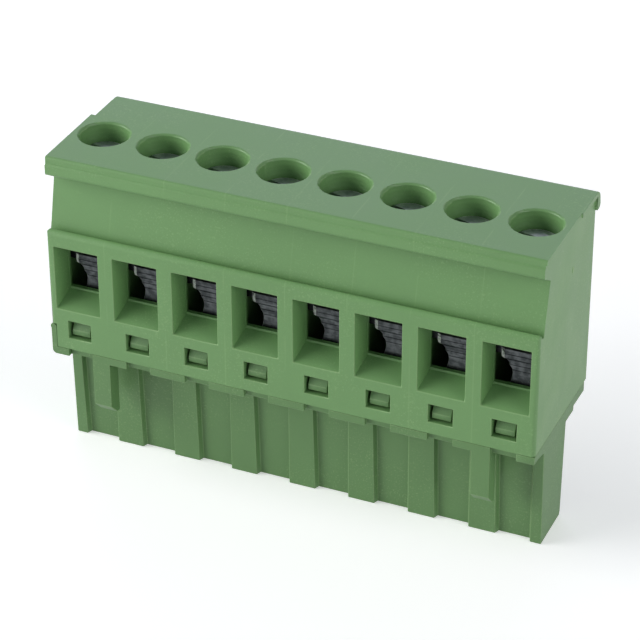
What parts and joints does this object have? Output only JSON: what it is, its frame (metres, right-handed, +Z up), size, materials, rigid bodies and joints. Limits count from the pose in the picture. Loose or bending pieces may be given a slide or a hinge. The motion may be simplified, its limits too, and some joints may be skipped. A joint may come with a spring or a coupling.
{
  "type": "pluggable terminal block",
  "caption": "Green plug-in screw terminal block for a board header, with wire entries in front, driver wells on top, latch windows and a ribbed plug below.",
  "frame": {"origin": "middle of the plug part's flat mating face", "axes": "+X along the row of poles, -Y the face with the wire entries, +Z up towards the screw heads"},
  "size_m": [0.0408, 0.0125, 0.0266],
  "materials": {
    "housing_green": "fine satin grain",
    "insert_green": "fine satin grain",
    "screw_steel": "zinc plated, satin",
    "cage_steel": "nickel plated, satin",
    "contact_tin": "tin plated, satin"
  },
  "bodies": {
    "block": {"housing": "housing_green", "plug_insert": "insert_green", "contact_1": "contact_tin", "contact_2": "contact_tin", "contact_3": "contact_tin", "contact_4": "contact_tin", "contact_5": "contact_tin", "contact_6": "contact_tin", "contact_7": "contact_tin", "contact_8": "contact_tin"},
    "screw_1": {"screw_1": "screw_steel"},
    "cage_1": {"cage_1": "cage_steel"},
    "screw_2": {"screw_2": "screw_steel"},
    "cage_2": {"cage_2": "cage_steel"},
    "screw_3": {"screw_3": "screw_steel"},
    "cage_3": {"cage_3": "cage_steel"},
    "screw_4": {"screw_4": "screw_steel"},
    "cage_4": {"cage_4": "cage_steel"},
    "screw_5": {"screw_5": "screw_steel"},
    "cage_5": {"cage_5": "cage_steel"},
    "screw_6": {"screw_6": "screw_steel"},
    "cage_6": {"cage_6": "cage_steel"},
    "screw_7": {"screw_7": "screw_steel"},
    "cage_7": {"cage_7": "cage_steel"},
    "screw_8": {"screw_8": "screw_steel"},
    "cage_8": {"cage_8": "cage_steel"}
  },
  "joints": [
    {"name": "screw_1_turn", "type": "hinge", "parent": "block", "child": "screw_1", "pos_m": [-0.01778, 0.0004, 0.024], "axis": [0, 0, 1], "range_deg": [0, 1585]},
    {"name": "cage_1_slide", "type": "slide", "parent": "block", "child": "cage_1", "axis": [0, 0, -1], "range_m": [0, 0.0022]},
    {"name": "screw_2_turn", "type": "hinge", "parent": "block", "child": "screw_2", "pos_m": [-0.0127, 0.0004, 0.024], "axis": [0, 0, 1], "range_deg": [0, 1585]},
    {"name": "cage_2_slide", "type": "slide", "parent": "block", "child": "cage_2", "axis": [0, 0, -1], "range_m": [0, 0.0022]},
    {"name": "screw_3_turn", "type": "hinge", "parent": "block", "child": "screw_3", "pos_m": [-0.00762, 0.0004, 0.024], "axis": [0, 0, 1], "range_deg": [0, 1585]},
    {"name": "cage_3_slide", "type": "slide", "parent": "block", "child": "cage_3", "axis": [0, 0, -1], "range_m": [0, 0.0022]},
    {"name": "screw_4_turn", "type": "hinge", "parent": "block", "child": "screw_4", "pos_m": [-0.00254, 0.0004, 0.024], "axis": [0, 0, 1], "range_deg": [0, 1585]},
    {"name": "cage_4_slide", "type": "slide", "parent": "block", "child": "cage_4", "axis": [0, 0, -1], "range_m": [0, 0.0022]},
    {"name": "screw_5_turn", "type": "hinge", "parent": "block", "child": "screw_5", "pos_m": [0.00254, 0.0004, 0.024], "axis": [0, 0, 1], "range_deg": [0, 1585]},
    {"name": "cage_5_slide", "type": "slide", "parent": "block", "child": "cage_5", "axis": [0, 0, -1], "range_m": [0, 0.0022]},
    {"name": "screw_6_turn", "type": "hinge", "parent": "block", "child": "screw_6", "pos_m": [0.00762, 0.0004, 0.024], "axis": [0, 0, 1], "range_deg": [0, 1585]},
    {"name": "cage_6_slide", "type": "slide", "parent": "block", "child": "cage_6", "axis": [0, 0, -1], "range_m": [0, 0.0022]},
    {"name": "screw_7_turn", "type": "hinge", "parent": "block", "child": "screw_7", "pos_m": [0.0127, 0.0004, 0.024], "axis": [0, 0, 1], "range_deg": [0, 1585]},
    {"name": "cage_7_slide", "type": "slide", "parent": "block", "child": "cage_7", "axis": [0, 0, -1], "range_m": [0, 0.0022]},
    {"name": "screw_8_turn", "type": "hinge", "parent": "block", "child": "screw_8", "pos_m": [0.01778, 0.0004, 0.024], "axis": [0, 0, 1], "range_deg": [0, 1585]},
    {"name": "cage_8_slide", "type": "slide", "parent": "block", "child": "cage_8", "axis": [0, 0, -1], "range_m": [0, 0.0022]}
  ],
  "couplings": [
    {"joint": "screw_1_turn", "follows": "cage_1_slide", "rad_per_m": 12566},
    {"joint": "screw_2_turn", "follows": "cage_2_slide", "rad_per_m": 12566},
    {"joint": "screw_3_turn", "follows": "cage_3_slide", "rad_per_m": 12566},
    {"joint": "screw_4_turn", "follows": "cage_4_slide", "rad_per_m": 12566},
    {"joint": "screw_5_turn", "follows": "cage_5_slide", "rad_per_m": 12566},
    {"joint": "screw_6_turn", "follows": "cage_6_slide", "rad_per_m": 12566},
    {"joint": "screw_7_turn", "follows": "cage_7_slide", "rad_per_m": 12566},
    {"joint": "screw_8_turn", "follows": "cage_8_slide", "rad_per_m": 12566}
  ]
}
